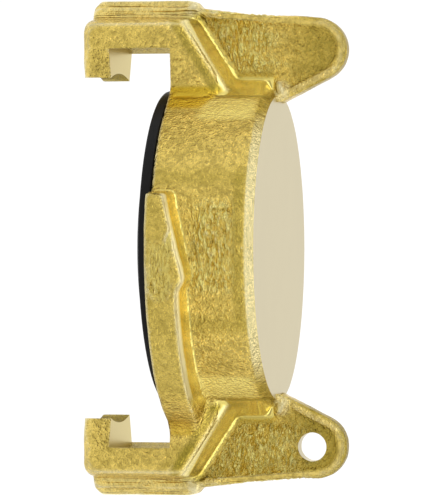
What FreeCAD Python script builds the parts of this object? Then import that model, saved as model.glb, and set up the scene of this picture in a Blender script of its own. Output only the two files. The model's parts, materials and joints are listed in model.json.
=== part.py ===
# Blanking cap for a claw coupling: one brass casting and one rubber sealing ring.
# The cap stands on the flat fronts of its two claws, with the coupling axis upright
# on Z. X runs through the two claws and wings, Y across them, and Z from the claw
# fronts at 0 to the closed back. The cap is the same after half a turn about Z,
# apart from the chain hole, which only the +X wing has. Lengths are in millimetres
# and angles in degrees. In the names, out is along X, across along Y and up along Z.

import FreeCAD, Part
import math
import os

# Drum: the round body behind the seal
drum_radius = 19.0
drum_depth = 12.1
back_bevel_radial = 0.96
back_bevel_depth = 1.2
front_edge_break = 0.3

# Claws: hook lip, throat, arm and the slanting gusset behind it
lip_thickness = 3.25
throat_gap = 7.25
tip_clearance = 1.8
lip_reach = 3.6
arm_thickness = 2.5
claw_half_width = 6.63
tip_half_width = 5.2
arm_length = 12.35
gusset_slope = 0.633
gusset_bevel = 1.6
edge_round = 0.8
corner_round = 0.6
block_draft = 0.5

# Middle plate over each claw, with a narrower ridge on top of it
plate_half_width = 1.9
plate_step = 1.7
plate_setback = 0.25
plate_ledge = 0.45
ridge_half_width = 1.3
ridge_step = 0.83
ridge_corner = 0.9
ridge_shortfall = 0.4
ridge_back_length = 1.3

# Wings: web with a raised rim, and the chain hole in one of them
web_half_width = 1.4
rim_width = 1.1
rim_edge_round = 0.85
wing_top_drop = 0.87
wing_top_taper = 4.84
wing_lower_taper = 26.97
wing_root_overlap = 1.1
wing_length = 8.2
chain_hole_radius = 1.7
chain_hole_inset = 4.15

# Ramps: the two part-flanges that the mating claws run up on
ramp_height = 3.0
ramp_start_angle = 16.6
ramp_start_lean = 3.8
ramp_start_depth = 2.15
ramp_hump_angle = -8.0
ramp_hump_depth = 4.5
ramp_hump_length = 2.4
ramp_notch_length = 2.7
ramp_seat_depth = 3.75
ramp_claw_angle = -78.0
ramp_draft = 0.85
ramp_slope_steps = 2
ramp_seat_steps = 5

# Hollow blends from the drum up to the claws and the wings
blend_rise = 0.95
claw_blend_angle = 33.0
claw_blend_length = 4.4
claw_blend_runout = 2.6
claw_blend_end_rise = 0.25
claw_blend_end_angle = 1.5
wing_blend_angle = 18.0

# Seal seat in the front of the drum
land_width = 2.2
seat_depth = 4.5
recess_radius = 10.0
recess_depth = 7.7
undercut_depth = 0.5
undercut_height = 1.6
undercut_lip = 1.2

# Sealing ring
seal_fit_clearance = 0.1
seal_overhang = 0.33
seal_rim_height = 1.28
seal_rim_width = 2.5
seal_edge_round = 0.4
seal_crown_height = 2.45
seal_crown_width = 1.6
seal_bore_height = 1.9

# Places worked out from the sizes above
front_height = lip_thickness + throat_gap
back_height = front_height + drum_depth
tip_radius = drum_radius + tip_clearance
arm_inner_radius = tip_radius + lip_reach
block_top = arm_inner_radius + arm_thickness
plate_top = block_top + plate_step
ridge_top = plate_top + ridge_step
ramp_radius = drum_radius + ramp_height
seat_radius = drum_radius - land_width
back_face_radius = drum_radius - back_bevel_radial
plate_offset = block_draft + plate_ledge
foot = drum_radius - 0.5 * land_width
overshoot = 2.0
wing_root_height = back_height - overshoot
tolerance = 1e-4


def vector(out, across, up):
    return FreeCAD.Vector(out, across, up)


def half_turn(shape):
    copy = shape.copy()
    copy.rotate(vector(0, 0, 0), vector(0, 0, 1), 180)
    return copy


def closed_wire(points):
    return Part.makePolygon(points + points[:1])


def outline_at(outline, across):
    """Closed wire from (out, up) points in the plane at this distance across."""
    return closed_wire([vector(out, across, up) for out, up in outline])


def prism(outline, half_width):
    """Solid over a closed outline of (out, up) points, centred across."""
    face = Part.Face(outline_at(outline, -half_width))
    return face.extrude(vector(0, 2 * half_width, 0))


def upright_cylinder(radius, low, high):
    return Part.makeCylinder(radius, high - low, vector(0, 0, low))


def revolved(outline):
    """Disc or ring from a closed outline of (radius, up) points."""
    face = Part.Face(outline_at(outline, 0))
    return face.revolve(vector(0, 0, 0), vector(0, 0, 1), 360)


def gusset_height(out, offset):
    """Height of the claw's slanting back edge, moved square to itself by offset."""
    slant = offset * math.hypot(1, gusset_slope)
    return arm_length + (block_top - out) * gusset_slope + slant


def drum():
    return revolved([
        (0, front_height),
        (drum_radius - front_edge_break, front_height),
        (drum_radius, front_height + front_edge_break),
        (drum_radius, back_height - back_bevel_depth),
        (back_face_radius, back_height),
        (0, back_height),
    ])


def claw_outline(front, top, offset):
    """Side view of the claw before its throat is turned."""
    return [
        (foot, front),
        (top - corner_round, front),
        (top, front + corner_round),
        (top, gusset_height(top, offset)),
        (foot, gusset_height(foot, offset)),
    ]


def claw_block():
    """Wide part of the claw, which gets smaller towards its side faces."""
    steps = [
        (claw_half_width, edge_round, block_top - edge_round, -gusset_bevel),
        (claw_half_width - edge_round, 0, block_top - 0.3 * edge_round, -0.5 * gusset_bevel),
        (claw_half_width - gusset_bevel, 0, block_top, 0),
        (plate_half_width, 0, block_top + block_draft, block_draft),
    ]
    near = [outline_at(claw_outline(*step[1:]), -step[0]) for step in steps]
    far = [outline_at(claw_outline(*step[1:]), step[0]) for step in reversed(steps)]
    return Part.makeLoft(near + far, True, True)


def claw_plate():
    """Middle plate and ridge that stand proud all round the claw's outside."""
    plate = prism(claw_outline(plate_setback, plate_top, plate_offset), plate_half_width)
    ridge_end = arm_length - ridge_shortfall
    ridge = prism([
        (foot, plate_setback),
        (ridge_top - ridge_corner, plate_setback),
        (ridge_top, plate_setback + ridge_corner),
        (ridge_top, ridge_end),
        (ridge_top - wing_top_drop, ridge_end + ridge_back_length),
        (foot, gusset_height(foot, plate_offset)),
    ], ridge_half_width)
    return plate.fuse(ridge)


def turned_throat():
    """What turning removes inside the claws: the lip's tip and the throat."""
    tip = upright_cylinder(tip_radius, -overshoot, lip_thickness)
    throat = upright_cylinder(arm_inner_radius, lip_thickness, front_height)
    return tip.fuse(throat)


def lip_side_cut(side):
    """Wedge that narrows one side of the hook lip towards its tip."""
    root = math.sqrt(arm_inner_radius ** 2 - claw_half_width ** 2)
    slope = (claw_half_width - tip_half_width) / lip_reach
    narrow = claw_half_width - slope * (root - drum_radius)
    wide = claw_half_width + overshoot
    face = Part.Face(closed_wire([
        vector(root, side * claw_half_width, -overshoot),
        vector(root, side * wide, -overshoot),
        vector(drum_radius, side * wide, -overshoot),
        vector(drum_radius, side * narrow, -overshoot),
    ]))
    return face.extrude(vector(0, 0, overshoot + front_height))


def claw():
    solid = claw_block().fuse(claw_plate())
    return solid.cut([turned_throat(), lip_side_cut(-1), lip_side_cut(1)])


def wing_tip_circle():
    """Centre and radius of the round that ends the wing and touches both edges."""
    top = math.radians(wing_top_taper)
    lower = math.radians(wing_lower_taper)
    top_start = ridge_top - wing_top_drop
    lower_start = back_face_radius - wing_root_overlap
    rise = back_height - arm_length
    closing = math.tan(top) + math.tan(lower)
    apex_up = back_height + (top_start - rise * math.tan(top) - lower_start) / closing
    apex_out = lower_start + (apex_up - back_height) * math.tan(lower)
    half_angle = (top + lower) / 2
    lean = (lower - top) / 2
    tip_up = back_height + wing_length
    distance = (apex_up - tip_up) / (math.cos(lean) - math.sin(half_angle))
    centre_out = apex_out - distance * math.sin(lean)
    centre_up = apex_up - distance * math.cos(lean)
    return centre_out, centre_up, distance * math.sin(half_angle)


def wing_face(inset):
    """Side view of the wing, with its free edges moved in by inset."""
    top = math.radians(wing_top_taper)
    lower = math.radians(wing_lower_taper)
    centre_out, centre_up, full_radius = wing_tip_circle()
    radius = full_radius - inset
    low = front_height + overshoot
    top_touch = (centre_out + radius * math.cos(top), centre_up + radius * math.sin(top))
    lower_touch = (centre_out - radius * math.cos(lower), centre_up + radius * math.sin(lower))
    top_start = top_touch[0] + (top_touch[1] - low) * math.tan(top)
    lower_end = lower_touch[0] - (lower_touch[1] - wing_root_height) * math.tan(lower)
    corners = [
        vector(lower_touch[0], 0, lower_touch[1]),
        vector(lower_end, 0, wing_root_height),
        vector(lower_end, 0, low),
        vector(top_start, 0, low),
        vector(top_touch[0], 0, top_touch[1]),
    ]
    edges = Part.makePolygon(corners).Edges
    edges.append(Part.Arc(corners[-1], vector(centre_out, 0, centre_up + radius), corners[0]).toShape())
    return Part.Face(Part.Wire(edges))


def thick_across(face, from_across, to_across):
    solid = face.extrude(vector(0, to_across - from_across, 0))
    solid.translate(vector(0, from_across, 0))
    return solid


def wing():
    """Web plate with a raised, rounded rim along its free edges."""
    plate = thick_across(wing_face(0), -plate_half_width, plate_half_width)
    free_edges = [edge for edge in plate.Edges
                  if edge.BoundBox.YLength < tolerance
                  and edge.BoundBox.ZMax > wing_root_height + tolerance]
    plate = plate.makeFillet(rim_edge_round, free_edges)
    pocket_top = plate_half_width + overshoot
    pockets = [
        thick_across(wing_face(rim_width), web_half_width, pocket_top),
        thick_across(wing_face(rim_width), -pocket_top, -web_half_width),
    ]
    return plate.cut(pockets)


def chain_hole():
    centre_out = wing_tip_circle()[0]
    centre_up = back_height + wing_length - chain_hole_inset
    start = vector(centre_out, -plate_half_width - overshoot, centre_up)
    length = 2 * (plate_half_width + overshoot)
    return Part.makeCylinder(chain_hole_radius, length, start, vector(0, 1, 0))


def ramp_section(angle, lean, depth):
    """Upright cut through the ramp: its back slopes down from the drum to the rim."""
    def place(radius, turn):
        return radius * math.sin(math.radians(turn)), -radius * math.cos(math.radians(turn))
    inner = place(drum_radius, angle + lean)
    outer = place(ramp_radius, angle)
    corners = []
    for share, side in ((-0.4, 0), (1.4, 0), (1.4, 1), (-0.4, 1)):
        along = inner[0] + (outer[0] - inner[0]) * share
        across = inner[1] + (outer[1] - inner[1]) * share
        back = front_height + depth + ramp_draft * (1 - share)
        corners.append(vector(-along, across, back if side else front_height))
    return closed_wire(corners)


def ramp():
    """Part-flange at the -Y side that rises to a hump and runs into the +X claw."""
    hump_end = ramp_hump_angle - ramp_hump_length
    notch_end = hump_end - ramp_notch_length
    stations = [(ramp_start_angle, ramp_start_lean, ramp_start_depth)]
    for step in range(1, ramp_slope_steps):
        share = step / ramp_slope_steps
        angle = ramp_start_angle + (ramp_hump_angle - ramp_start_angle) * share
        depth = ramp_start_depth + (ramp_hump_depth - ramp_start_depth) * share
        stations.append((angle, 0, depth))
    stations.append((ramp_hump_angle, 0, ramp_hump_depth))
    stations.append((hump_end, 0, ramp_hump_depth))
    for step in range(ramp_seat_steps + 1):
        angle = notch_end + (ramp_claw_angle - notch_end) * step / ramp_seat_steps
        stations.append((angle, 0, ramp_seat_depth))
    spans = [Part.makeLoft([ramp_section(*one), ramp_section(*two)], True, True)
             for one, two in zip(stations, stations[1:])]
    solid = spans[0].fuse(spans[1:])
    return solid.common(upright_cylinder(ramp_radius, front_height, back_height))


def blend_section(half_width, rise, drum_angle, up):
    """Closed section of the hollow corner between a flat side and the drum."""
    corner = math.sqrt(drum_radius ** 2 - half_width ** 2)
    flat_radius = math.hypot(corner + rise, half_width)
    flat_angle = math.asin(half_width / flat_radius)
    end_angle = math.radians(drum_angle)
    deep = 0.5 * (drum_radius + seat_radius)

    def polar(radius, turn):
        return vector(radius * math.cos(turn), radius * math.sin(turn), up)

    flat_end = vector(corner + rise, half_width, up)
    hollow = polar(drum_radius + 0.25 * (flat_radius - drum_radius), (flat_angle + end_angle) / 2)
    drum_end = polar(drum_radius, end_angle)
    inside = [
        polar(deep, end_angle),
        polar(deep, 0.5 * flat_angle),
        vector(corner + rise, 0.5 * half_width, up),
    ]
    edges = Part.makePolygon([drum_end] + inside + [flat_end]).Edges
    edges.append(Part.Arc(flat_end, hollow, drum_end).toShape())
    return Part.Wire(edges)


def claw_blend():
    """Hollow between the drum and the flank of the claw that no ramp joins."""
    narrow = claw_half_width - gusset_bevel
    narrow_angle = math.degrees(math.asin(narrow / drum_radius)) + claw_blend_end_angle
    full = front_height + claw_blend_length
    return Part.makeLoft([
        blend_section(claw_half_width, blend_rise, claw_blend_angle, front_height),
        blend_section(claw_half_width, blend_rise, claw_blend_angle, full),
        blend_section(narrow, claw_blend_end_rise, narrow_angle, full + claw_blend_runout),
    ], True, True)


def wing_blends():
    """Hollows between the drum and both faces of a wing."""
    one = Part.makeLoft([
        blend_section(web_half_width, blend_rise, wing_blend_angle, arm_length),
        blend_section(web_half_width, blend_rise, wing_blend_angle, back_height - back_bevel_depth),
    ], True, True)
    return [one, one.mirror(vector(0, 0, 0), vector(0, 1, 0))]


def seal_seat():
    """Counterbore with an undercut, and the closed recess behind it."""
    step = front_height + undercut_lip
    return revolved([
        (0, front_height - overshoot),
        (seat_radius, front_height - overshoot),
        (seat_radius, step),
        (seat_radius + undercut_depth, step),
        (seat_radius + undercut_depth, step + undercut_height),
        (seat_radius, step + undercut_height),
        (seat_radius, front_height + seat_depth),
        (recess_radius, front_height + seat_depth),
        (recess_radius, front_height + recess_depth),
        (0, front_height + recess_depth),
    ])


def cap_body():
    one_side = claw().fuse([wing(), ramp(), claw_blend()] + wing_blends())
    solid = drum().fuse([one_side, half_turn(one_side)])
    return solid.cut([seal_seat(), chain_hole()]).removeSplitter()


def sealing_ring():
    """Rubber ring that fills the seat: its flat rim covers the drum's front, and an
    inner crown stands proud of it."""
    side = seat_radius - seal_fit_clearance
    bead = side + undercut_depth
    bead_low = front_height + undercut_lip + seal_fit_clearance
    bead_high = front_height + undercut_lip + undercut_height - seal_fit_clearance
    outer = drum_radius - seal_overhang
    rim = front_height - seal_rim_height
    crown = front_height - seal_crown_height
    crown_inner = recess_radius + seal_crown_width
    return revolved([
        (recess_radius, front_height + seat_depth),
        (recess_radius, front_height - seal_bore_height),
        (crown_inner, crown),
        (crown_inner + seal_crown_width, crown),
        (outer - seal_rim_width, rim),
        (outer - seal_edge_round, rim),
        (outer, rim + seal_edge_round),
        (outer, front_height),
        (side, front_height),
        (side, bead_low),
        (bead, bead_low),
        (bead, bead_high),
        (side, bead_high),
        (side, front_height + seat_depth),
    ])


pieces = {
    "cap_body": cap_body(),
    "sealing_ring": sealing_ring(),
}

os.makedirs("parts", exist_ok=True)
for name, shape in pieces.items():
    shape.exportStep(os.path.join("parts", name + ".step"))
    print(name, shape.isValid(), len(shape.Solids), round(shape.Volume, 1))
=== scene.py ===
import math

import bpy
import numpy as np
from mathutils import Matrix, Vector
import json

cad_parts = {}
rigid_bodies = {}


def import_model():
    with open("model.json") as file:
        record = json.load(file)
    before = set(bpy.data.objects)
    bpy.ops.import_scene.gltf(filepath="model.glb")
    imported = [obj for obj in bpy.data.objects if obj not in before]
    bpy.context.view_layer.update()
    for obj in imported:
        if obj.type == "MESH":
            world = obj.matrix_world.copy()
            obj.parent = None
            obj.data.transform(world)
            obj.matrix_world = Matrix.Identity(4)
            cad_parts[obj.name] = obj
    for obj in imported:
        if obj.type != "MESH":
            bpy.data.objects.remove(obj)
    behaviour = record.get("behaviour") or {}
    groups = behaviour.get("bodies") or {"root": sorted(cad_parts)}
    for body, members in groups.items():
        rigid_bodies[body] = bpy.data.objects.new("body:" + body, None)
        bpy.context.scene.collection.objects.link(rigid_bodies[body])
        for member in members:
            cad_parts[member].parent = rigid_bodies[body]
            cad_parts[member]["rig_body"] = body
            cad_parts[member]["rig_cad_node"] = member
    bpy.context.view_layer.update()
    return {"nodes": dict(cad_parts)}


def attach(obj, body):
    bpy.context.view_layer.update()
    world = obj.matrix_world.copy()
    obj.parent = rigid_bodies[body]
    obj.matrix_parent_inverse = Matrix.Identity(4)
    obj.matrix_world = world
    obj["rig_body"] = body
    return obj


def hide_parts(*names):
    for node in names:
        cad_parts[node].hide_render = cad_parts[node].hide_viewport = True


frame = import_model()


# Cap body
# One brass casting: a round drum closed at its back, with two hooked claws, two
# ramps and two finger wings. It is cast rough, then turned at the back, in the
# hooks' throats and at the seal, and one wing is drilled for a chain.

front_height = 0.0105
back_height = 0.0226
claw_half_width = 0.00663
block_top = 0.0269
lip_thickness = 0.00325
tip_radius = 0.0208
throat_radius = 0.0244
web_half_width = 0.0014
hole_radius = 0.0017
hole_out = 0.023468
hole_up = 0.02665

# Metal that is added before the skin is made, to be turned or drilled off again
stock = 0.0002
stock_nose = 0.0188
stock_taper_start = 0.02348
stock_taper = 0.397
arm_stock_low = 0.001
arm_stock_high = 0.0106
lip_stock_high = 0.0034
lip_stock_root = 0.0212
lip_stock_reach = 0.0213
back_stock_radius = 0.0180
back_stock_at_wings = 0.0171
back_stock_wing_gap = 0.0026
back_stock_middle = 0.02232
back_stock_depth = 0.001

# Gussets, the ends of the ramps, and beads of metal given as place, half sizes and tilt
gusset_height = 0.01235
gusset_slope = 0.633
gusset_slope_length = round(math.hypot(1, gusset_slope), 4)
gusset_middle = 0.02248
gusset_round_radius = 0.0021
gusset_round_length = 0.0101
ramp_end_out = 0.02072
ramp_end_across = 0.00689
ramp_end_up = 0.0123
ramp_end_size = (0.0019, 0.0012, 0.0037)
ramp_end_turn = math.radians(46)
upper_foot_bead = ((0.0187, 0.0013, 0.0230), (0.0013, 0.0011, 0.0007), 0.4)
lower_foot_bead = ((0.0195, 0.0006, 0.0218), (0.0010, 0.0009, 0.0009), 0)
ridge_end_bead = ((0.0284, 0.0006, 0.0124), (0.00095, 0.0013, 0.0009), 0)

# Cast skin
voxel = 0.0002
skin_grain = 0.0016
skin_relief = 0.00008
pit_grain = 0.0005
pit_relief = 0.00055
pit_stretch = 2.5
faces_kept = 0.42

# Turning and drilling
turning_depth = 0.00004
overrun = 0.002
back_cut_radius = 0.0186
back_cut_at_wings = 0.01735
back_cut_wing_gap = 0.0024
throat_cut_height = 0.007
wall_cut_low = 0.01
wall_cut_half_width = 0.0071
drill_length = 0.008
crease_angle = math.radians(38)


def select_only(piece):
    bpy.ops.object.select_all(action="DESELECT")
    piece.select_set(True)
    bpy.context.view_layer.objects.active = piece


def join(pieces):
    select_only(pieces[0])
    for piece in pieces[1:]:
        piece.select_set(True)
    bpy.ops.object.join()
    return pieces[0]


def select_vertices(piece, wanted):
    """Leaves exactly the wanted vertices selected, by place, in edit mode."""
    bpy.ops.object.mode_set(mode="EDIT")
    bpy.ops.mesh.select_mode(type="VERT")
    bpy.ops.mesh.select_all(action="DESELECT")
    bpy.ops.object.mode_set(mode="OBJECT")
    for vertex in piece.data.vertices:
        vertex.select = wanted(vertex.co)
    bpy.ops.object.mode_set(mode="EDIT")


def apply_modifier(piece, kind, settings):
    select_only(piece)
    bpy.ops.object.modifier_add(type=kind)
    modifier = piece.modifiers[-1]
    for name, value in settings.items():
        setattr(modifier, name, value)
    bpy.ops.object.modifier_apply(modifier=modifier.name)


def freeze(piece):
    """Puts a new primitive's place into its mesh."""
    select_only(piece)
    bpy.ops.object.transform_apply(location=True, rotation=True, scale=True)
    return piece


def tapered_stock(low, high, root, reach, side):
    """Block that fills a hook before turning and narrows towards its nose."""
    root_half_width = claw_half_width - (stock_taper_start - root) * stock_taper
    nose_half_width = claw_half_width - (stock_taper_start - stock_nose) * stock_taper
    bpy.ops.mesh.primitive_cube_add(size=1, location=(side * (root + reach) / 2, 0, (low + high) / 2))
    block = bpy.context.object
    block.scale = (reach - root, 2 * root_half_width, high - low)
    freeze(block)
    select_vertices(block, lambda co: abs(co.x) < root + 0.00001)
    bpy.ops.mesh.extrude_region_move(TRANSFORM_OT_translate={"value": (side * (stock_nose - root), 0, 0)})
    bpy.ops.transform.resize(value=(1, nose_half_width / root_half_width, 1))
    bpy.ops.object.mode_set(mode="OBJECT")
    return block


def back_disc(vertices, radius, depth, middle, wing_gap, radius_at_wings):
    """Disc over the back face, narrower where the wings stand."""
    bpy.ops.mesh.primitive_cylinder_add(vertices=vertices, radius=radius, depth=depth,
                                        location=(0, 0, middle))
    disc = freeze(bpy.context.object)
    select_vertices(disc, lambda co: abs(co.y) < wing_gap)
    bpy.ops.transform.resize(value=(radius_at_wings / radius, 1, 1))
    bpy.ops.object.mode_set(mode="OBJECT")
    return disc


def across_wing(vertices, radius, length):
    """Round bar through the place of the chain hole."""
    bpy.ops.mesh.primitive_cylinder_add(vertices=vertices, radius=radius, depth=length,
                                        location=(hole_out, 0, hole_up), rotation=(math.pi / 2, 0, 0))
    return freeze(bpy.context.object)


def gusset_round(side, face):
    """Bar that rounds a gusset's long sloping edge."""
    up = gusset_height + (block_top - gusset_middle) * gusset_slope
    steep = math.atan(gusset_slope)
    inward = Vector((math.sin(steep), 0, math.cos(steep))) * gusset_round_radius
    across = claw_half_width - gusset_round_radius
    bpy.ops.mesh.primitive_cylinder_add(
        vertices=64, radius=gusset_round_radius, depth=gusset_round_length,
        location=(side * (gusset_middle - inward.x), face * across, up - inward.z),
        rotation=(0, side * (math.pi / 2 + steep), 0))
    return freeze(bpy.context.object)


def ramp_end(side):
    """Small fillet where a ramp runs into its claw."""
    bpy.ops.mesh.primitive_cube_add(
        size=1, location=(side * ramp_end_out, -side * ramp_end_across, ramp_end_up),
        rotation=(0, 0, ramp_end_turn))
    fillet = bpy.context.object
    fillet.scale = ramp_end_size
    return freeze(fillet)


def bead(side, face, place, size, tilt):
    """Egg-shaped bead left by the mould."""
    out, across, up = place
    bpy.ops.mesh.primitive_ico_sphere_add(subdivisions=4, radius=1, rotation=(0, side * tilt, 0),
                                          location=(side * out, face * across, up))
    egg = bpy.context.object
    egg.scale = size
    return freeze(egg)


select_only(frame["nodes"]["cap_body"])
bpy.ops.object.duplicate()
casting = bpy.context.object
casting.name = "brass_casting"
casting.parent = None
del casting["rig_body"]
del casting["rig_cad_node"]
select_vertices(casting, lambda co: True)
bpy.ops.mesh.remove_doubles(threshold=0.000001)
bpy.ops.object.mode_set(mode="OBJECT")

parts = [casting]
for side in (-1, 1):
    parts.append(tapered_stock(arm_stock_low, arm_stock_high,
                               stock_taper_start, throat_radius + stock, side))
    parts.append(tapered_stock(0, lip_stock_high, lip_stock_root, lip_stock_reach, side))
    parts.append(ramp_end(side))
    for face in (-1, 1):
        parts.append(gusset_round(side, face))
        for place, size, tilt in (upper_foot_bead, lower_foot_bead, ridge_end_bead):
            parts.append(bead(side, face, place, size, tilt))
parts.append(across_wing(48, hole_radius + stock, 2 * web_half_width))
parts.append(back_disc(128, back_stock_radius, back_stock_depth, back_stock_middle,
                       back_stock_wing_gap, back_stock_at_wings))
casting = join(parts)
apply_modifier(casting, "REMESH", {"mode": "VOXEL", "voxel_size": voxel, "adaptivity": 0})
apply_modifier(casting, "SMOOTH", {"factor": 0.5, "iterations": 16})


# The shares below are between 0 and 1. They are worked out at every vertex from its
# place in millimetres, and each product of bands marks one region of the casting.

def band(values, low, high, soft):
    """1 between two values, fading to 0 over a soft width at each end."""
    rise = np.clip((values - low) / soft + 0.5, 0, 1)
    fall = np.clip((high - values) / soft + 0.5, 0, 1)
    return np.minimum(rise, fall)


def places(piece):
    """Every vertex's place in millimetres, as x, y and z."""
    flat = np.zeros(len(piece.data.vertices) * 3)
    piece.data.vertices.foreach_get("co", flat)
    return flat.reshape(-1, 3).T * 1000


def from_gusset(out, z):
    """Distance outside the sloping plane of the gussets, in millimetres."""
    rise = z - 1000 * gusset_height - (1000 * block_top - out) * gusset_slope
    return rise / gusset_slope_length


def gusset_edge(x, y, z, low, high):
    """The rounding along the gussets' long edge, between two distances from their slope."""
    square = from_gusset(np.abs(x), z)
    return band(square, low, high, 0.3) * band(np.abs(y), 5.0, 7.0, 0.2) * band(np.abs(x), 18.4, 26.9, 0.4)


def soft_edges(x, y, z):
    """How much the casting's edges are rounded here."""
    out = np.abs(x)
    beside = np.abs(y)
    radius = np.hypot(x, y)
    square = from_gusset(out, z)
    rim = band(square, 3.0, 90, 1.0) * band(beside, 1.0, 2.3, 0.2) * band(out, 21.5, 40, 0.5)
    plate = band(square, -0.9, 0.6, 0.3) * band(beside, 1.4, 4.2, 0.4) * band(out, 17.0, 28.0, 0.5)
    ramp = band(radius, 18.2, 22.5, 0.3) * band(z, 11.0, 15.6, 0.6) * band(out, -1, 19.0, 1.0)
    foot = band(radius, 20.0, 24.5, 0.5) * band(z, 11.0, 15.4, 0.6) * band(beside, 6.2, 9.5, 0.3)
    root = band(out, 15.5, 21.4, 0.8) * band(z, 11.3, 22.0, 0.6) * band(beside, 1.2, 10.5, 0.3)
    knob = band(out, 17.4, 20.4, 0.4) * band(z, 20.8, 24, 0.4) * band(beside, 0.6, 2.8, 0.3)
    claw = band(out, 25.7, 28, 0.3) * band(beside, 5.2, 7.2, 0.3) * band(z, -1, 12.5, 0.5)
    gusset = gusset_edge(x, y, z, -1.8, 0.6)
    rounded = 0.4 * rim + plate + 0.7 * ramp + foot + root + 0.3 * knob + 0.5 * claw + 0.8 * gusset
    return np.clip(rounded, 0, 1)


def pitted(x, y, z):
    """How rough the sand mould left the webs, a panel of the drum and a patch of each ramp."""
    near = np.where(y > 0, -x, x)
    out = np.abs(x)
    radius = np.hypot(x, y)
    web_end = np.where(x > 0, 25.5, 21.5) + 0.9 * np.sin(out * 2.1) + 0.5 * np.sin(out * 5.3)
    web = band(np.abs(y), -1, 1.62, 0.1) * band(out, 20.7, 28.2, 0.4) * band(z, 12.0, web_end, 3.5)
    web = web * band(from_gusset(out, z), 1.3, 90, 0.4)
    panel = band(near, -5.2, 4.9, 1.6) * band(z, 15.2 - 0.17 * near, 20.1, 1.3)
    panel = panel * band(radius, 18.6, 19.5, 0.2)
    patch = band(near + 0.9 * (z - 12.2) ** 2, -0.3, 6.2, 0.6) * band(z, 11.1, 13.6, 0.5)
    patch = patch * band(radius, 21.6, 22.5, 0.2)
    return np.clip(web + 0.9 * panel + 0.65 * patch, 0, 1)


def smooth_skin(x, y, z):
    """How smooth the mould left the skin in hollows and on slopes."""
    out = np.abs(x)
    beside = np.abs(y)
    radius = np.hypot(x, y)
    slope = band(from_gusset(out, z), -0.6, 1.3, 0.4) * band(beside, 1.5, 6.4, 0.3)
    slope = slope * band(out, 17.5, 27.6, 0.5)
    ramp = band(radius, 19.25, 21.8, 0.2) * band(z, 11.2, 16, 0.5) * band(out, -1, 18.2, 0.8)
    root = band(out, 17.6, 20.3, 0.5) * band(z, 16.0, 22.3, 0.6) * band(beside, 1.3, 9.5, 0.3)
    return np.clip(slope + ramp + root, 0, 1)


def grained(x, y, z):
    """How much of the mould's grain is left on the skin."""
    return 1 - np.maximum(smooth_skin(x, y, z), gusset_edge(x, y, z, -2.2, 0.4))


def paint(piece, name, shares):
    """Vertex group from shares, in eight steps."""
    group = piece.vertex_groups.new(name=name)
    for step in range(1, 9):
        chosen = np.flatnonzero(np.round(shares * 8) == step)
        group.add(chosen.tolist(), step / 8, "REPLACE")


def displace(piece, size, strength, group, stretch):
    """Sinks the skin by a cloudy texture that is stretched along X."""
    bpy.ops.object.empty_add(location=(0, 0, 0))
    grid = bpy.context.object
    grid.scale = (stretch, 1, 1)
    texture = bpy.data.textures.new(group, type="CLOUDS")
    texture.noise_scale = size
    apply_modifier(piece, "DISPLACE", {"texture": texture, "strength": strength, "mid_level": 1,
                                       "texture_coords": "OBJECT", "texture_coords_object": grid,
                                       "vertex_group": group})
    bpy.data.objects.remove(grid)


paint(casting, "soft_edges", soft_edges(*places(casting)))
apply_modifier(casting, "SMOOTH", {"factor": 0.5, "iterations": 45, "vertex_group": "soft_edges"})
paint(casting, "pitted", pitted(*places(casting)))
paint(casting, "skin", grained(*places(casting)))
displace(casting, skin_grain, skin_relief, "skin", 1)
displace(casting, pit_grain, pit_relief, "pitted", pit_stretch)
apply_modifier(casting, "DECIMATE", {"ratio": faces_kept})

back_cutter = back_disc(256, back_cut_radius, overrun, back_height - turning_depth + overrun / 2,
                        back_cut_wing_gap, back_cut_at_wings)

bpy.ops.mesh.primitive_cylinder_add(vertices=256, radius=tip_radius, depth=lip_thickness + overrun,
                                    location=(0, 0, lip_thickness / 2 - overrun / 2))
throat_cutter = freeze(bpy.context.object)
select_vertices(throat_cutter, lambda co: co.z > 0)
bpy.ops.mesh.extrude_region_move(TRANSFORM_OT_translate={"value": (0, 0, 0)})
bpy.ops.transform.resize(value=(throat_radius / tip_radius, throat_radius / tip_radius, 1))
bpy.ops.mesh.extrude_region_move(TRANSFORM_OT_translate={"value": (0, 0, throat_cut_height)})
bpy.ops.object.mode_set(mode="OBJECT")

drill = across_wing(96, hole_radius, drill_length)

wall_cut_high = front_height + turning_depth
bpy.ops.mesh.primitive_cylinder_add(vertices=256, radius=throat_radius, depth=wall_cut_high - wall_cut_low,
                                    location=(0, 0, (wall_cut_low + wall_cut_high) / 2))
wall_cutter = freeze(bpy.context.object)
for face in (-1, 1):
    select_vertices(wall_cutter, lambda co: True)
    bpy.ops.mesh.bisect(plane_co=(0, face * wall_cut_half_width, 0), plane_no=(0, face, 0),
                        use_fill=True, clear_outer=True)
    bpy.ops.object.mode_set(mode="OBJECT")
for cutter in (join([throat_cutter, back_cutter, drill]), wall_cutter):
    apply_modifier(casting, "BOOLEAN", {"operation": "DIFFERENCE", "solver": "MANIFOLD", "object": cutter})
    bpy.data.objects.remove(cutter)


def directions(piece):
    """Every vertex's normal, one row each."""
    flat = np.zeros(len(piece.data.vertices) * 3)
    piece.data.vertex_normals.foreach_get("vector", flat)
    return flat.reshape(-1, 3)


def convexity(piece):
    """Mean curvature of every vertex per millimetre, above 0 on edges and below 0 in hollows."""
    points = places(piece).T
    normals = directions(piece)
    ends = np.zeros(len(piece.data.edges) * 2, dtype=int)
    piece.data.edges.foreach_get("vertices", ends)
    ends = ends.reshape(-1, 2)
    near = np.concatenate((ends[:, 0], ends[:, 1]))
    far = np.concatenate((ends[:, 1], ends[:, 0]))
    step = points[far] - points[near]
    bend = -2 * (normals[near] * step).sum(axis=1) / np.maximum((step ** 2).sum(axis=1), 0.001)
    count = np.bincount(near, minlength=len(points))
    mean = np.bincount(near, np.clip(bend, -4, 4), len(points)) / count
    for turn in range(2):
        mean = 0.5 * mean + 0.5 * np.bincount(near, mean[far], len(points)) / count
    return mean


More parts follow.
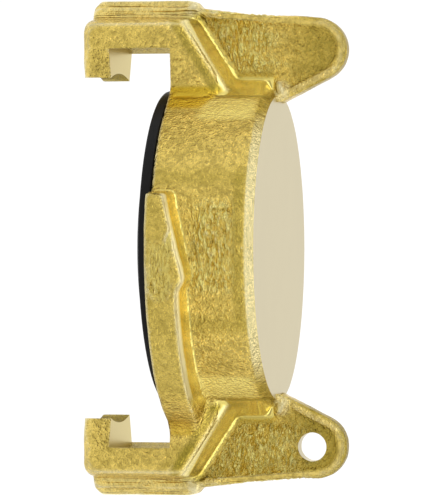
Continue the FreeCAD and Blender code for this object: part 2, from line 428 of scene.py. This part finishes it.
# Places in millimetres: out along the claws, beside them, up, the distance from the
# axis, and the distance measured square to the gussets' slope. Lean is 1 where the
# skin faces up and -1 where it faces down.
across, along, up = places(casting)
out = np.abs(across)
beside = np.abs(along)
radius = np.hypot(across, along)
square = from_gusset(out, up)
handed = across * along
lean = directions(casting)[:, 2]
bend = convexity(casting)
hollows = smooth_skin(across, along, up)

# Claws and their ridges, marked for the painted shade, highlights and gold reflection below
hook_tip = band(radius, 20.6, 21.0, 0.1) * band(up, -1, 3.3, 0.1) * band(beside, -1, 5.2, 0.3)
throat = band(radius, 24.2, 24.55, 0.1) * band(up, 3.2, 10.5, 0.1) * band(beside, -1, 6.8, 0.1)
front_edge = band(up, -1, 0.8, 0.5) * band(out, 18, 28, 0.5) * band(beside, 4, 7, 0.5)
front_face = band(up, -1, 1.0, 0.6) * band(out, 18, 28, 0.5) * band(beside, 4, 7, 0.5)
claw_rim = band(out, 26.2, 27.4, 0.3) * band(beside, 5.9, 7.0, 0.3) * band(up, -1, 12.5, 0.5)
claw_foot = band(out, 17.9, 19.1, 0.3) * band(up, 11, 19, 0.8) * band(beside, 4, 8, 0.4)
foot_blend = band(out, 16.3, 18.9, 0.3) * band(up + (19.0 - out) * 0.9, 9, 17.3, 0.6)
foot_blend = foot_blend * band(beside, 4, 11, 0.5)
ridge = band(out, 27.2, 40, 0.3) * band(up, -1, 13, 0.5)
ridge_end = band(out, 27.6, 40, 0.3) * band(up, 11.8, 13.6, 0.3) * band(beside, 0.8, 3, 0.3)

# Gussets: the painted highlight strip along the rounding, and what lies beside it, with painted shade
# beside the strip, at its lower end, at the slope's top, in a spot on one claw and in a line on the plate
highlight_strip = gusset_edge(across, along, up, -0.72, -0.02)
strip_end = gusset_edge(across, along, up, -1.0, 0.4) * band(out, 17.5, 19.9, 0.8)
shaded = gusset_edge(across, along, up, -1.9, -0.9)
gusset_slopes = gusset_edge(across, along, up, -0.15, 0.5)
gusset_rounding = gusset_edge(across, along, up, -2.2, 0.4)
slope_top = band(square, -0.6, 1.2, 0.3) * band(out, 26.2, 28, 0.4) * band(beside, 1.5, 5, 0.4)
dark_spot = band(square, -3.0, -0.9, 0.5) * band(out, 23.2, 26.0, 0.6) * band(beside, 5.6, 7, 0.3)
dark_spot = dark_spot * (handed < 0)
plate_line = band(square, 0.5, 1.5, 0.3) * band(beside, 1.3, 2.6, 0.2) * band(out, 19.5, 28, 0.5)

# Wings, marked for the painted shade and highlights below
wing_rim = band(square, 3.2, 90, 0.5) * band(beside, -1, 2.4, 0.2) * band(out, 20, 40, 1)
straight_rim = wing_rim * band(up, 12, 26.0, 2.5)
rim_face = band(square, 3.2, 90, 0.5) * band(beside, 1.68, 2.0, 0.1) * band(out, 22, 40, 1)
wing_tip = band(up, 25, 40, 3) * band(beside, -1, 1.65, 0.1)
lower_web = band(beside, -1, 1.65, 0.1) * band(square, 1.5, 90, 0.5) * (across > 0)
shelf = band(out, 19.9, 21.3, 0.3) * band(up, 17.6, 22, 0.6) * band(beside, 1.2, 2.8, 0.2)
knob = band(out, 17.4, 19.8, 0.3) * band(up, 22.2, 24, 0.3) * band(beside, 1.5, 3, 0.2)

# Drum: its back bevel with painted shade at its ends, a band of painted shade below it, lines of painted
# dark reflection across the drum, and the sides that turn away, painted paler
worn_bevel = band(up, 21.55, 22.6, 0.1) * band(radius, 17.3, 18.8, 0.1) * band(out, -1, 14.5, 3)
bevel_end = band(up, 21.4, 22.6, 0.1) * band(radius, 17.2, 18.8, 0.1) * band(out, 10, 40, 4)
back_band = band(up, 20.2, 21.5, 0.4) * band(beside, 15.0, 30, 2) * band(out, -1, 8, 4)
# Lines of painted dark reflection across the drum's sides
dark_reflection_lines = band(np.abs(handed / np.maximum(beside, 1) + 0.4), 7.6, 9.4, 1.2) * band(radius, 18.4, 19.4, 0.2)
# Painted pale highlight on the drum's sides, laid on with the hollows' painted light
painted_side_highlight = band(out, 14.9, 17.5, 0.6) * band(up, 14.8, 21.2, 1.0) * band(radius, 18.3, 19.3, 0.2)
turning_away = band(out, 14.5, 40, 3) * band(radius, 18.3, 23.5, 0.2) * band(beside, 6.9, 40, 0.4)
turning_away = turning_away * band(up, 10.4, 22, 0.3)

# Ramps: the outer face, painted a little shaded, and the slope behind it in three lines: painted shade, a
# painted gold reflection, and a painted highlight on the edge where it faces up
ramp_face = band(radius, 21.3, 23, 0.2) * band(up, 10.5, 14.4, 0.5) * band(out, -1, 18, 1)
ramp_foot = band(out, 20.2, 22.0, 0.5) * band(up, 9.5, 13.5, 0.8) * band(beside, 4, 10, 0.5)
ramp_back = band(up, 11.2, 16, 0.5) * band(out, -1, 17.6, 1)
ramp_line = band(radius, 20.15, 20.5, 0.2) * ramp_back
ramp_gold = band(radius, 20.6, 21.2, 0.2) * ramp_back
ramp_edge = band(radius, 21.25, 22.6, 0.2) * ramp_back * np.clip((lean - 0.2) / 0.3, 0, 1)

# Painted shade: darker, browner metal with a dimmer reflection on hook tips, throats, the drum's dark
# reflection lines, wing tips, shelves and shaded sides
painted_shade_share = 0.75 * hook_tip + 0.45 * throat + 0.5 * back_band + 0.35 * dark_reflection_lines + 0.5 * wing_tip
painted_shade_share = painted_shade_share + 0.15 * lower_web + 0.45 * bevel_end
painted_shade_share = painted_shade_share + 0.28 * ramp_face + 0.45 * shelf + 0.6 * shaded + 0.3 * plate_line
painted_shade_share = painted_shade_share + 0.5 * slope_top + 0.3 * claw_foot + 0.4 * ramp_line + 0.4 * strip_end
painted_shade_share = painted_shade_share + 0.35 * dark_spot
painted_shade_share = np.clip(painted_shade_share, 0, 1)

# Painted highlights: paler metal on convex edges and along the gussets, ramps and claws
edges = np.clip((bend - 0.45) / 1.3, 0, 0.75) * (1 - gusset_slopes)
edges = edges + 0.5 * highlight_strip + 0.5 * knob + 0.5 * ridge_end
edges = np.clip(edges + 0.8 * ramp_edge + 0.12 * front_edge + 0.45 * claw_rim + 0.2 * ridge, 0, 1)
edges = edges * (1 - 0.7 * plate_line) * (1 - 0.65 * straight_rim)

# Painted reflection: deeper yellow where the brass mirrors itself, at the feet of the claws and ramps and
# in the gold line of the ramps
depth = np.maximum(np.where(handed > 0, foot_blend, 0.55 * ramp_foot), 0.6 * ramp_gold)

# Skin that is smoother than the rest
smoother = np.maximum(0.5 * gusset_rounding, 0.6 * ridge)
smoother = np.maximum(np.maximum(smoother, 0.5 * front_face), 0.8 * rim_face)
smoother = np.maximum(smoother, 0.4 * turning_away)
smoother = np.maximum(smoother, hollows)

# Four of these shares are painted light: paler metal in hollows and on the drum's sides, a gold reflection,
# shade and highlights
skin_shares = {
    "pitted": pitted(across, along, up),
    "coarse": 1 - smoother,
    "painted_hollow_light": np.maximum(hollows, 0.9 * painted_side_highlight),
    "worn": 0.85 * worn_bevel,
    "painted_highlight": edges,
    "painted_shade": painted_shade_share,
    "painted_gold_reflection": depth,
    "drawn": ridge,
}

# The groups go first, because a group and a share can't have the same name
casting.vertex_groups.clear()
for name, shares in skin_shares.items():
    attribute = casting.data.attributes.new(name, "FLOAT", "POINT")
    attribute.data.foreach_set("value", shares.astype(np.float32))


def add_node(tree, kind, settings=(), inputs=()):
    node = tree.nodes.new(kind)
    for name, value in dict(settings).items():
        setattr(node, name, value)
    for name, value in dict(inputs).items():
        node.inputs[name].default_value = value
    return node


def new_material(name):
    """Material with a bare surface shader and its tree."""
    material = bpy.data.materials.new(name)
    material.use_nodes = True
    tree = material.node_tree
    tree.nodes.clear()
    shader = add_node(tree, "ShaderNodeBsdfPrincipled")
    output = add_node(tree, "ShaderNodeOutputMaterial")
    tree.links.new(shader.outputs["BSDF"], output.inputs["Surface"])
    return material, tree, shader


def object_place(tree):
    return add_node(tree, "ShaderNodeTexCoord").outputs["Object"]


def split_place(tree, place):
    """The X, Y and Z of a place, as the outputs of one node."""
    node = add_node(tree, "ShaderNodeSeparateXYZ")
    tree.links.new(place, node.inputs["Vector"])
    return node.outputs


def stretched(tree, place, scale):
    """A place whose patterns are drawn out along each axis with a scale below 1."""
    node = add_node(tree, "ShaderNodeMapping", {}, {"Scale": scale})
    tree.links.new(place, node.inputs["Vector"])
    return node.outputs["Vector"]


def noise(tree, place, settings):
    node = add_node(tree, "ShaderNodeTexNoise", {}, settings)
    tree.links.new(place, node.inputs["Vector"])
    return node.outputs["Fac"]


def skin_share(tree, name):
    """One of the shares that the casting's vertices carry."""
    return add_node(tree, "ShaderNodeAttribute", {"attribute_name": name}).outputs["Fac"]


def math_node(tree, operation, *values):
    """Result of an operation on plain numbers and outputs of other nodes."""
    node = add_node(tree, "ShaderNodeMath", {"operation": operation})
    for socket, value in zip(node.inputs, values):
        if isinstance(value, (int, float)):
            socket.default_value = value
        else:
            tree.links.new(value, socket)
    return node.outputs[0]


def smooth_step(tree, value, low, high):
    node = add_node(tree, "ShaderNodeMapRange", {"interpolation_type": "SMOOTHSTEP"},
                    {"From Min": low, "From Max": high})
    tree.links.new(value, node.inputs["Value"])
    return node.outputs["Result"]


def mix_colors(tree, factor, first, second):
    """Mixes two colours by a factor, each a plain colour or the output of a node."""
    node = add_node(tree, "ShaderNodeMix", {"data_type": "RGBA"})
    for name, color in (("A", first), ("B", second)):
        if isinstance(color, tuple):
            node.inputs[name].default_value = (*color, 1)
        else:
            tree.links.new(color, node.inputs[name])
    tree.links.new(factor, node.inputs["Factor"])
    return node.outputs["Result"]


def add_bump(tree, shader, height, strength, distance):
    """Gives a shader fine relief, and returns the relief's normal."""
    node = add_node(tree, "ShaderNodeBump", {}, {"Strength": strength, "Distance": distance})
    tree.links.new(height, node.inputs["Height"])
    tree.links.new(node.outputs["Normal"], shader.inputs["Normal"])
    return node.outputs["Normal"]


# Cast brass: a grained and mottled skin with flakes in its pits, painted shaded in the pits and painted
# pale on the flakes, with painted shade, highlights and reflections laid over it
mottle_dark = (0.56, 0.41, 0.07)
mottle_light = (0.93, 0.69, 0.15)
# Flakes: painted shade in the pits and a painted highlight on the raised flakes
pit_shade_color = (0.92, 0.68, 0.12)
flake_highlight_color = (1, 0.91, 0.34)
# Colours of painted light, in the next four colours: a paler gold in hollows, a reflected gold, a shaded
# brown and a pale highlight
hollow_light_gold = (1, 0.82, 0.22)
reflected_gold = (0.76, 0.50, 0.015)
shade_brown = (0.42, 0.32, 0.04)
edge_highlight = (0.95, 0.84, 0.46)
worn_shine = (0.94, 0.82, 0.42)
warm_glint = (1, 0.95, 0.8)
# Tint of the metal's reflection where shade is painted
shaded_glint = (0.15, 0.11, 0.02)

cast_brass, tree, shader = new_material("cast_brass")
place = object_place(tree)
pitting = skin_share(tree, "pitted")
coarse = skin_share(tree, "coarse")
worn = skin_share(tree, "worn")
painted_highlight = skin_share(tree, "painted_highlight")
painted_shade = skin_share(tree, "painted_shade")
painted_gold_reflection = skin_share(tree, "painted_gold_reflection")
painted_hollow_light = skin_share(tree, "painted_hollow_light")
drawn = skin_share(tree, "drawn")
grain = noise(tree, place, {"Scale": 4200, "Detail": 2})
pebble = noise(tree, place, {"Scale": 1700, "Detail": 3, "Distortion": 0.7})
cloud = noise(tree, place, {"Scale": 420, "Detail": 4})
flake = noise(tree, stretched(tree, place, (0.4, 1, 1)), {"Scale": 1900, "Detail": 4, "Distortion": 1.5})
streak = noise(tree, stretched(tree, place, (1, 1, 0.05)), {"Scale": 2400, "Detail": 1})

fine = math_node(tree, "MULTIPLY", grain, 0.95)
broad = math_node(tree, "MULTIPLY", pebble, 1.25)
skin = math_node(tree, "MULTIPLY", math_node(tree, "ADD", fine, broad), coarse)
flakes = math_node(tree, "MULTIPLY", math_node(tree, "MULTIPLY", flake, pitting), 3.2)
lines = math_node(tree, "MULTIPLY", math_node(tree, "MULTIPLY", streak, drawn), 2.1)
height = math_node(tree, "ADD", math_node(tree, "ADD", skin, flakes), lines)
relief = add_bump(tree, shader, height, 1.0, 0.00028)

clouded = math_node(tree, "MULTIPLY", cloud, 0.45)
mottle = smooth_step(tree, math_node(tree, "ADD", clouded, pebble), 0.49, 0.96)
even = mix_colors(tree, mottle, mottle_dark, mottle_light)
# The pits' colour follows the flakes' relief: painted shade low down and a painted highlight on top
scaly = mix_colors(tree, smooth_step(tree, flake, 0.35, 0.65), pit_shade_color, flake_highlight_color)
base = mix_colors(tree, pitting, even, scaly)
# Painted light laid over the skin's colour: paler metal in hollows and on the drum's sides, a gold
# reflection, shade and highlights
base = mix_colors(tree, painted_hollow_light, base, hollow_light_gold)
base = mix_colors(tree, painted_gold_reflection, base, reflected_gold)
base = mix_colors(tree, painted_shade, base, shade_brown)
base = mix_colors(tree, painted_highlight, base, edge_highlight)
base = mix_colors(tree, worn, base, worn_shine)
tree.links.new(base, shader.inputs["Base Color"])

spread = math_node(tree, "MULTIPLY_ADD", pebble, 0.16, 0.08)
spread = math_node(tree, "ADD", spread, math_node(tree, "MULTIPLY", painted_highlight, 0.22))
tree.links.new(spread, shader.inputs["Roughness"])
# Where hollows are painted lighter, part of the metal also turns diffuse
metal = math_node(tree, "SUBTRACT", 1, math_node(tree, "MULTIPLY", painted_hollow_light, 0.22))
tree.links.new(metal, shader.inputs["Metallic"])
# The painted shade also darkens the tint of the metal's reflection and thins its coat
tree.links.new(mix_colors(tree, painted_shade, warm_glint, shaded_glint), shader.inputs["Specular Tint"])
sheen = math_node(tree, "MULTIPLY", math_node(tree, "SUBTRACT", 1, painted_shade), 0.5)
tree.links.new(sheen, shader.inputs["Coat Weight"])
tree.links.new(relief, shader.inputs["Coat Normal"])
shader.inputs["Coat IOR"].default_value = 1.5
shader.inputs["Coat Roughness"].default_value = 0.12

# Turned brass: pale, with the fine rings of the lathe, and yellower in the hooks
turned_dark = (0.64, 0.545, 0.30)
turned_light = (0.67, 0.575, 0.32)
hook_yellow = (0.75, 0.60, 0.18)
ring_radians_per_metre = 42000

turned_brass, tree, shader = new_material("turned_brass")
place = object_place(tree)
apart = split_place(tree, place)
squared = math_node(tree, "ADD", math_node(tree, "POWER", apart["X"], 2),
                    math_node(tree, "POWER", apart["Y"], 2))
from_axis = math_node(tree, "SQRT", squared)
rings = math_node(tree, "SINE", math_node(tree, "MULTIPLY", from_axis, ring_radians_per_metre))
add_bump(tree, shader, rings, 0.15, 0.000004)
haze = noise(tree, place, {"Scale": 160, "Detail": 3})
low_down = add_node(tree, "ShaderNodeMapRange", {}, {"From Min": 0.012, "From Max": 0.011})
tree.links.new(apart["Z"], low_down.inputs["Value"])
pale = mix_colors(tree, haze, turned_dark, turned_light)
tone = mix_colors(tree, low_down.outputs["Result"], pale, hook_yellow)
tree.links.new(tone, shader.inputs["Base Color"])
shader.inputs["Roughness"].default_value = 0.32
shader.inputs["Metallic"].default_value = 1


def is_turned(face):
    """Whether the lathe or the drill made this face, by its place and direction."""
    from_hole = math.hypot(face.center.x - hole_out, face.center.z - hole_up)
    back = abs(face.center.z - back_height + turning_depth) < 0.000005 and face.normal.z > 0.99
    lip = abs(face.center.z - lip_thickness) < 0.000005 and face.normal.z > 0.99
    hole = abs(from_hole - hole_radius) < 0.00002 and abs(face.normal.y) < 0.1
    return back or lip or hole


casting.data.materials.clear()
casting.data.materials.append(cast_brass)
casting.data.materials.append(turned_brass)
for face in casting.data.polygons:
    face.material_index = 1 if is_turned(face) else 0
select_only(casting)
bpy.ops.object.shade_smooth_by_angle(angle=crease_angle)
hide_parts("cap_body")
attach(casting, "root")


# Sealing ring
# A black rubber ring that snaps into the drum's front by a bead. Its flat rim covers
# the front edge, and its crown stands proud to meet the ring of the other coupling.

ring_outer = 0.01867
rim_inner = 0.01617
crown_outer = 0.0132
crown_inner = 0.0116
ring_bore = 0.010
rim_low = 0.00922
crown_low = 0.00805
bore_low = 0.00855
land_inner = 0.0175
seat_floor = 0.015
plug_radius = 0.0167
bead_radius = 0.0172
bead_low = 0.0118
bead_high = 0.0132
ring_edge_round = 0.0003
rubber_dark = (0.008, 0.008, 0.009)
rubber_dusty = (0.016, 0.016, 0.016)


def sweep_loop(radius, steps):
    """Extrudes the selected round loop through new radii and rises."""
    for new_radius, rise in steps:
        bpy.ops.mesh.extrude_region_move(TRANSFORM_OT_translate={"value": (0, 0, rise)})
        bpy.ops.transform.resize(value=(new_radius / radius, new_radius / radius, 1))
        radius = new_radius


bpy.ops.mesh.primitive_cylinder_add(vertices=192, radius=ring_outer, depth=front_height - rim_low,
                                    end_fill_type="NOTHING", location=(0, 0, (front_height + rim_low) / 2))
ring = freeze(bpy.context.object)
ring.name = "rubber_ring"
select_vertices(ring, lambda co: co.z > front_height - 0.00001)
sweep_loop(ring_outer, ((land_inner, 0),))
bpy.ops.object.mode_set(mode="OBJECT")
select_vertices(ring, lambda co: co.z < rim_low + 0.0001)
sweep_loop(ring_outer, (
    (rim_inner, 0),
    (crown_outer, crown_low - rim_low),
    (crown_inner, 0),
    (ring_bore, bore_low - crown_low),
    (ring_bore, seat_floor - bore_low),
))
bpy.ops.object.mode_set(mode="OBJECT")
apply_modifier(ring, "BEVEL", {"width": ring_edge_round, "segments": 3, "limit_method": "ANGLE",
                               "angle_limit": math.radians(25)})

# The part in the seat: from its floor out to the bead and back to the rim's land
select_vertices(ring, lambda co: co.z > seat_floor - 0.00001)
sweep_loop(ring_bore, (
    (plug_radius, 0),
    (plug_radius, bead_high - seat_floor),
    (bead_radius, 0),
    (bead_radius, bead_low - bead_high),
    (plug_radius, 0),
    (plug_radius, front_height - bead_low),
))
bpy.ops.object.mode_set(mode="OBJECT")
select_vertices(ring, lambda co: abs(co.z - front_height) < 0.00001 and co.xy.length < land_inner + 0.00001)
bpy.ops.mesh.bridge_edge_loops()
bpy.ops.mesh.select_all(action="SELECT")
bpy.ops.mesh.normals_make_consistent(inside=False)
bpy.ops.object.mode_set(mode="OBJECT")

rubber, tree, shader = new_material("black_rubber")
dust = noise(tree, object_place(tree), {"Scale": 900, "Detail": 4})
tree.links.new(mix_colors(tree, dust, rubber_dark, rubber_dusty), shader.inputs["Base Color"])
add_bump(tree, shader, dust, 0.3, 0.00001)
shader.inputs["Roughness"].default_value = 0.45
shader.inputs["Specular IOR Level"].default_value = 0.12
ring.data.materials.append(rubber)
select_only(ring)
bpy.ops.object.shade_smooth_by_angle(angle=crease_angle)
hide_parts("sealing_ring")
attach(ring, "root")


# Floor and light
# White paper lies under the cap, below a long soft lamp in a white room. The room is
# brighter overhead, dimmer straight above the cap, and dark on the camera's side.

floor_size = 8
lamp_height = 0.7
lamp_beyond = 0.03

bpy.ops.mesh.primitive_plane_add(size=floor_size, location=(0, 0, 0))
floor = bpy.context.object
floor.name = "floor"
paper = bpy.data.materials.new("white_paper")
paper.use_nodes = True
tree = paper.node_tree
tree.nodes.clear()
matt = add_node(tree, "ShaderNodeBsdfDiffuse", {}, {"Color": (0.85, 0.85, 0.85, 1)})
glow = add_node(tree, "ShaderNodeEmission", {}, {"Color": (1, 1, 1, 1)})
sheet = add_node(tree, "ShaderNodeMixShader")
output = add_node(tree, "ShaderNodeOutputMaterial")

# What the brass mirrors: paper that is brighter behind the cap and darker beside it
apart = split_place(tree, object_place(tree))
backwards = add_node(tree, "ShaderNodeMapRange", {},
                     {"From Min": -0.035, "From Max": 0.05, "To Min": 0.84, "To Max": 1.36})
tree.links.new(apart["Y"], backwards.inputs["Value"])
sideways = math_node(tree, "ABSOLUTE", apart["X"])
margin = math_node(tree, "MULTIPLY", smooth_step(tree, sideways, 0.02, 0.08), 0.15)
hole_side = math_node(tree, "MULTIPLY", smooth_step(tree, apart["X"], 0.01, 0.06), 0.09)
mirrored = math_node(tree, "SUBTRACT", backwards.outputs["Result"], margin)
mirrored = math_node(tree, "SUBTRACT", mirrored, hole_side)

# What the camera sees: an even white
path = add_node(tree, "ShaderNodeLightPath")
seen = math_node(tree, "MAXIMUM", path.outputs["Is Camera Ray"], path.outputs["Is Glossy Ray"])
strength = add_node(tree, "ShaderNodeMix", {"data_type": "FLOAT"})
tree.links.new(path.outputs["Is Camera Ray"], strength.inputs["Factor"])
tree.links.new(mirrored, strength.inputs["A"])
strength.inputs["B"].default_value = 1.1
tree.links.new(strength.outputs["Result"], glow.inputs["Strength"])
tree.links.new(math_node(tree, "MULTIPLY", seen, 0.92), sheet.inputs["Fac"])
tree.links.new(matt.outputs["BSDF"], sheet.inputs[1])
tree.links.new(glow.outputs["Emission"], sheet.inputs[2])
tree.links.new(sheet.outputs["Shader"], output.inputs["Surface"])
floor.data.materials.append(paper)

world = bpy.data.worlds.new("room")
bpy.context.scene.world = world
world.use_nodes = True
tree = world.node_tree
tree.nodes.clear()
apart = split_place(tree, add_node(tree, "ShaderNodeTexCoord").outputs["Generated"])

# The bright strip overhead, which is weaker straight above and turns dark towards
# the far wall
past_camera = smooth_step(tree, apart["Y"], -0.50, -0.28)
far = smooth_step(tree, apart["Y"], -0.05, 0.35)
overhead = math_node(tree, "SUBTRACT", past_camera, math_node(tree, "MULTIPLY", far, 1.35))
box = math_node(tree, "MULTIPLY", overhead, smooth_step(tree, apart["Z"], 0.35, 0.60))
straight_up = math_node(tree, "MULTIPLY", smooth_step(tree, apart["Z"], 0.85, 0.94), 0.85)
box = math_node(tree, "MULTIPLY", box, math_node(tree, "SUBTRACT", 1, straight_up))
lit = math_node(tree, "MULTIPLY_ADD", box, 0.85, 1)

# The dark wall on the camera's side, paler in its middle
camera_side = math_node(tree, "SUBTRACT", 1, past_camera)
aside = smooth_step(tree, math_node(tree, "ABSOLUTE", apart["X"]), 0.12, 0.30)
dark = math_node(tree, "MULTIPLY_ADD", aside, 0.65, 0.35)
wall = math_node(tree, "MULTIPLY", camera_side, smooth_step(tree, apart["Z"], 0.08, 0.32))
gloom = math_node(tree, "MULTIPLY", math_node(tree, "MULTIPLY", wall, dark), 0.68)
room = add_node(tree, "ShaderNodeBackground", {}, {"Color": (1, 1, 1, 1)})
tree.links.new(math_node(tree, "SUBTRACT", lit, gloom), room.inputs["Strength"])
output = add_node(tree, "ShaderNodeOutputWorld")
tree.links.new(room.outputs["Background"], output.inputs["Surface"])

bpy.ops.object.light_add(type="AREA", location=(0, lamp_beyond, lamp_height))
lamp = bpy.context.object
lamp.data.shape = "RECTANGLE"
lamp.data.size = 2
lamp.data.size_y = 0.16
lamp.data.energy = 0.9


# Camera
# It looks almost square onto the side of the cap, a little from above, and is
# rolled so that the coupling axis lies across the picture.

view_height = 0.014625
view_distance = 0.45116
view_tilt = math.radians(10.641)
bpy.ops.object.camera_add(location=(0, -view_distance * math.cos(view_tilt),
                                    view_height + view_distance * math.sin(view_tilt)))
camera = bpy.context.object
turn = Matrix.Rotation(math.pi / 2 - view_tilt, 4, "X") @ Matrix.Rotation(math.pi / 2, 4, "Z")
camera.rotation_euler = turn.to_euler()
camera.data.lens = 275.96
camera.data.sensor_width = 36
camera.data.shift_x = 0.0069
camera.data.shift_y = 0.001
bpy.context.scene.camera = camera
bpy.context.scene.view_settings.view_transform = "Standard"
